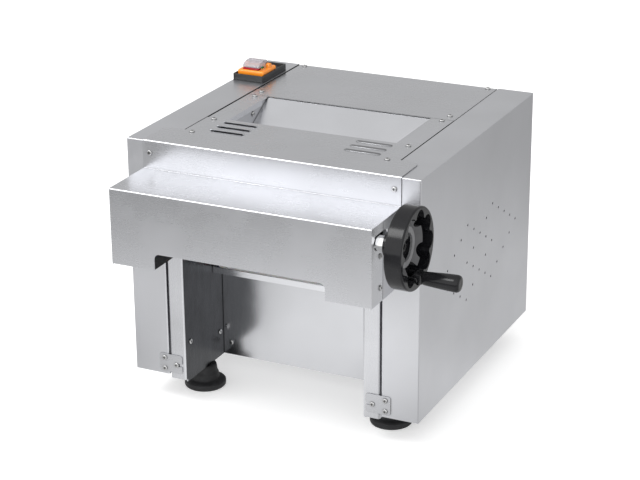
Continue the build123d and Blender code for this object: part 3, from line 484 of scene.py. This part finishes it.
# ---- Handwheel and handle ----
# Black phenolic mouldings from a polished tool, so the rim and grip are glossy. The duller web is a dish with
# five pockets between hub and rim, one of them for the folding handle. A grey satin ring closes the hub.
def moulded(name, colour, gloss, grain, depth, lift=1.5):
    paint = Paint(name)
    texture = paint.noise(paint.place(), grain, 3.0, 0.6)
    flow = paint.noise(paint.place((1, 1, 2)), 26.0, 3.0, 0.6)
    light = tuple(min(1.0, c * lift + 0.003) for c in colour)
    # Painted shade darkens gaps and inner corners.
    paint.colour(paint.painted_gap_shade(paint.blend(flow, colour, light), 0.0015))
    paint.rough(paint.between(texture, gloss, gloss + 0.08))
    paint.bump(texture, depth, 0.0001)
    return paint


def softened(name, radius, material, body, slot, segments=2, sharp=35):
    """A copy of a CAD node with its edges rounded."""
    shape = bmesh.new()
    shape.from_mesh(nodes[name].data)
    bmesh.ops.remove_doubles(shape, verts=shape.verts, dist=1e-6)
    bmesh.ops.dissolve_limit(shape, angle_limit=radians(1.0), verts=shape.verts, edges=shape.edges)
    edges = [e for e in shape.edges if len(e.link_faces) == 2 and e.calc_face_angle() > radians(sharp)]
    bmesh.ops.bevel(shape, geom=edges, offset=radius, offset_type="OFFSET", segments=segments, profile=0.5,
                    affect="EDGES", material=-1, clamp_overlap=True)
    bmesh.ops.triangulate(shape, faces=[f for f in shape.faces if len(f.verts) > 4])
    return new_piece(name + "_moulding", shape, material, body, slot, name)


def turned_piece(shape, profile, centre, axis, steps=64):
    """Spins a profile of (along, radius) points round an axis through centre."""
    out = Vector((0, 0, 1)) if axis.x or axis.y else Vector((1, 0, 0))
    points = [shape.verts.new(centre + axis * along + out * radius) for along, radius in profile]
    lines = [shape.edges.new(pair) for pair in zip(points, points[1:])]
    bmesh.ops.spin(shape, geom=points + lines, cent=centre, axis=axis, angle=2 * pi, steps=steps,
                   use_merge=True)
    bmesh.ops.remove_doubles(shape, verts=shape.verts, dist=1e-6)
    bmesh.ops.recalc_face_normals(shape, faces=shape.faces)


wheel_low, wheel_high = (Vector(corner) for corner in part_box("handwheel"))
wheel_centre = (wheel_low + wheel_high) / 2
wheel_black = moulded("wheel_black", (0.005, 0.005, 0.006), 0.12, 700.0, 0.04)
wheel_black.base(specular_ior_level=0.28)
finish(wheel_black.material, "handwheel")

web_grey = moulded("web_grey", (0.062, 0.062, 0.065), 0.38, 900.0, 0.1, 1.25)
web_radius, dish_radius = 0.0420, 0.0305
web_depth, dish_depth, groove_depth = 0.0175, 0.0100, 0.0250
handle_at = atan2(-0.0464, 0.0075)
pocket_turns = [0.0] + [radians(72 * i - 14) for i in range(1, 5)]
web = bmesh.new()
outline = bmesh.ops.create_circle(web, cap_ends=False, radius=web_radius, segments=270)["verts"]
bmesh.ops.rotate(web, verts=outline, cent=(0, 0, 0), matrix=Matrix.Rotation(radians(90), 3, "Y"))
for vert in outline:
    turn = (atan2(vert.co.z, vert.co.y) - handle_at) % (2 * pi)
    pocket = min(range(5), key=lambda i: abs(sin((turn - pocket_turns[i]) / 2)))
    pocket_at, pocket_radius = (0.047, 0.0134) if pocket else (0.042, 0.0166)
    along = pocket_at * cos(turn - pocket_turns[pocket])
    aside = pocket_at * sin(turn - pocket_turns[pocket])
    if abs(aside) < pocket_radius:
        vert.co *= min(web_radius, along - (pocket_radius ** 2 - aside ** 2) ** 0.5) / web_radius
    climb = (vert.co.length - dish_radius) / (web_radius - dish_radius)
    vert.co.x = wheel_high.x - web_depth + (web_depth - dish_depth) * max(0.0, climb)
loop_edges = web.edges[:]
for radius, depth in ((dish_radius, web_depth), (dish_radius, groove_depth), (None, groove_depth)):
    made = bmesh.ops.extrude_edge_only(web, edges=loop_edges)["geom"]
    loop = {v for v in made if isinstance(v, bmesh.types.BMVert)}
    loop_edges = [e for e in web.edges if e.verts[0] in loop and e.verts[1] in loop]
    for vert in loop:
        flat = Vector((0, vert.co.y, vert.co.z))
        flat *= min(1.0, radius / flat.length) if radius else 1.0
        vert.co = (wheel_high.x - depth, flat.y, flat.z)
back_verts = {round(atan2(v.co.z, v.co.y), 5): v for v in loop}
for vert in outline:
    behind = back_verts[round(atan2(vert.co.z, vert.co.y), 5)]
    behind.co.y, behind.co.z = vert.co.y, vert.co.z
bmesh.ops.bridge_loops(web, edges=[e for e in web.edges if len(e.link_faces) == 1])
bmesh.ops.remove_doubles(web, verts=web.verts, dist=1e-6)
bmesh.ops.recalc_face_normals(web, faces=web.faces)
bmesh.ops.translate(web, verts=web.verts, vec=(0, wheel_centre.y, wheel_centre.z))
new_piece("wheel_web", web, web_grey.material, "adjuster", "black_plastic", smooth=30)

knuckle_black = moulded("knuckle_black", (0.010, 0.010, 0.011), 0.1, 900.0, 0.03)
softened("handle_knuckle", 0.0008, knuckle_black.material, "handle_arm", "black_plastic")
softened("handle_bracket", 0.0008, knuckle_black.material, "adjuster", "black_plastic")
hub_grey = moulded("hub_grey", (0.17, 0.17, 0.175), 0.42, 1500.0, 0.1, 1.2)
finish(hub_grey.material, "hub_ring")

grip_black = moulded("grip_black", (0.008, 0.008, 0.009), 0.1, 500.0, 0.02)
grip_black.base(specular_ior_level=0.24)
grip_low, grip_high = (Vector(corner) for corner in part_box("handle_grip"))
grip_centre = Vector((grip_low.x, (grip_low.y + grip_high.y) / 2, (grip_low.z + grip_high.z) / 2))
grip_long = grip_high.x - grip_low.x
grip_profile = [(0.0006, 0.0046), (0.0, 0.0056), (0.0, 0.0088), (0.0006, 0.0096), (0.002, 0.0101),
                (0.008, 0.0106), (0.018, 0.0113), (0.030, 0.0121), (0.042, 0.0127),
                (grip_long - 0.008, 0.0130), (grip_long - 0.0045, 0.01295), (grip_long - 0.002, 0.0121),
                (grip_long - 0.0006, 0.0106), (grip_long, 0.0088), (grip_long, 0.0046),
                (grip_long - 0.0004, 0.0), (grip_long - 0.0014, 0.0), (grip_long - 0.0014, 0.0046),
                (0.0006, 0.0046)]
grip = bmesh.new()
turned_piece(grip, grip_profile, grip_centre, Vector((1, 0, 0)))
new_piece("grip_moulding", grip, grip_black.material, "grip", "black_plastic", "handle_grip", smooth=50)


# ---- Switch ----
# A bought start and stop switch: orange body with hinge lugs, red and green keys and a clear flap, screwed
# into a black tray on the casing. All glossy mouldings apart from the tray, which has a fine spark finish.
tray_black = moulded("tray_black", (0.011, 0.012, 0.013), 0.36, 1400.0, 0.14)
softened("switch_frame", 0.0004, tray_black.material, "frame", "frame_plastic")
orange = moulded("switch_orange", (0.82, 0.25, 0.012), 0.24, 1200.0, 0.06, 1.12)
orange.base(coat_weight=0.25, coat_roughness=0.15)
orange_body = softened("switch_body", 0.0006, orange.material, "frame", "orange_plastic")
lug_foot, lug_height = 0.4645, 0.64
for vert in orange_body.data.vertices:
    vert.co.z = min(vert.co.z, lug_foot + lug_height * (vert.co.z - lug_foot))
key_red = moulded("key_red", (0.34, 0.004, 0.012), 0.2, 900.0, 0.04, 1.15)
softened("stop_button", 0.0006, key_red.material, "stop_button", "red_plastic")
key_green = moulded("key_green", (0.03, 0.22, 0.09), 0.2, 900.0, 0.04, 1.2)
softened("start_button", 0.0005, key_green.material, "start_button", "green_plastic")
clear = moulded("flap_clear", (0.84, 0.8, 0.84), 0.08, 500.0, 0.03, 1.05)
clear.base(transmission_weight=0.72, ior=1.25)
flap_low, flap_high = (Vector(corner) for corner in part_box("switch_flap"))
flap_side = [(0.1874, 0.4674), (0.1883, 0.4700), (0.1915, 0.4730), (0.1970, 0.4752), (0.2040, 0.4763),
             (0.2130, 0.4763), (0.2185, 0.4752), (0.2205, 0.4725), (0.2205, 0.4680)]
end_gap = 0.0024
flap = bmesh.new()
arch = [flap.verts.new((flap_low.x + end_gap, y, z)) for y, z in flap_side]
arch_edges = [flap.edges.new(pair) for pair in zip(arch, arch[1:])]
flap.faces.new(arch)
crossed = bmesh.ops.extrude_edge_only(flap, edges=arch_edges)["geom"]
far_arch = [v for v in crossed if isinstance(v, bmesh.types.BMVert)]
bmesh.ops.translate(flap, verts=far_arch, vec=(flap_high.x - flap_low.x - 2 * end_gap, 0, 0))
bmesh.ops.contextual_create(flap, geom=far_arch)
bmesh.ops.recalc_face_normals(flap, faces=flap.faces)
folds = [e for e in flap.edges if len(e.link_faces) == 2 and e.calc_face_angle() > radians(50)]
bmesh.ops.bevel(flap, geom=folds, offset=0.0012, offset_type="OFFSET", segments=3, profile=0.5,
                affect="EDGES", material=-1)
bmesh.ops.solidify(flap, geom=flap.faces[:], thickness=0.0012)
hinge_pin = bmesh.new()
pin_spot = Vector((flap_low.x, 0.217, 0.4685))
pin_long = flap_high.x - flap_low.x
turned_piece(hinge_pin, [(0.0, 0.0), (0.0, 0.0014), (pin_long, 0.0014), (pin_long, 0.0)], pin_spot,
             Vector((1, 0, 0)), 20)
add_shape(flap, hinge_pin)
new_piece("flap_moulding", flap, clear.material, "switch_flap", "clear_plastic", "switch_flap", smooth=35)
terminal_black = moulded("terminal_black", (0.02, 0.02, 0.021), 0.42, 1300.0, 0.16)
finish(terminal_black.material, "terminal_box")
gland_black = moulded("gland_black", (0.016, 0.016, 0.017), 0.34, 1500.0, 0.12)
finish(gland_black.material, "cable_gland")


# ---- Feet ----
# Soft black rubber mouldings on steel studs: a wide flared pad with a moulding line, a waist, and a rounded
# collar under the rail. Handling and flour dust leave the rubber slightly grey.
rubber = Paint("foot_rubber")
pores = rubber.noise(rubber.place(), 1600.0, 4.0, 0.6)
dust = rubber.noise(rubber.place((1, 1, 2)), 30.0, 5.0, 0.65)
rubber.base(specular_ior_level=0.35)
dusted = rubber.blend(dust, (0.012, 0.012, 0.013), (0.028, 0.029, 0.031), 0.4, 0.75)
# Painted shade darkens gaps and hollows.
rubber.colour(rubber.painted_gap_shade(dusted, 0.004))
rubber.rough(rubber.between(pores, 0.55, 0.75))
rubber.bump(pores, 0.2, 0.0002)
foot_profile = [(0.0, 0.0125), (0.0, 0.0295), (0.0007, 0.0315), (0.0022, 0.0327), (0.0045, 0.0330),
                (0.0062, 0.0330), (0.0068, 0.0326), (0.0074, 0.0330), (0.0092, 0.0329), (0.0106, 0.0318),
                (0.0120, 0.0290), (0.0130, 0.0255), (0.0136, 0.0236), (0.0146, 0.0226), (0.0170, 0.0222),
                (0.0215, 0.0220), (0.0240, 0.0214), (0.0254, 0.0202), (0.0300, 0.0196), (0.0350, 0.0190),
                (0.0380, 0.0184), (0.0392, 0.0172), (0.0395, 0.0150), (0.0395, 0.0056)]
pad_spread = 1.045
foot_outside = [(height, radius * pad_spread) for height, radius in foot_profile]
foot_bore = [(0.0072, 0.0052), (0.0042, 0.0052), (0.004, 0.0118), (0.0, 0.0125)]
foot_half = 0.033
feet_low, feet_high = (Vector(corner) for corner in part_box("feet"))
feet = bmesh.new()
for foot_x in (feet_low.x + foot_half, feet_high.x - foot_half):
    for foot_y in (feet_low.y + foot_half, feet_high.y - foot_half):
        foot = bmesh.new()
        turned_piece(foot, foot_outside + foot_bore, Vector((foot_x, foot_y, 0.0)), Vector((0, 0, 1)), 56)
        add_shape(feet, foot)
new_piece("foot_mouldings", feet, rubber.material, "frame", "rubber", "feet", smooth=50)
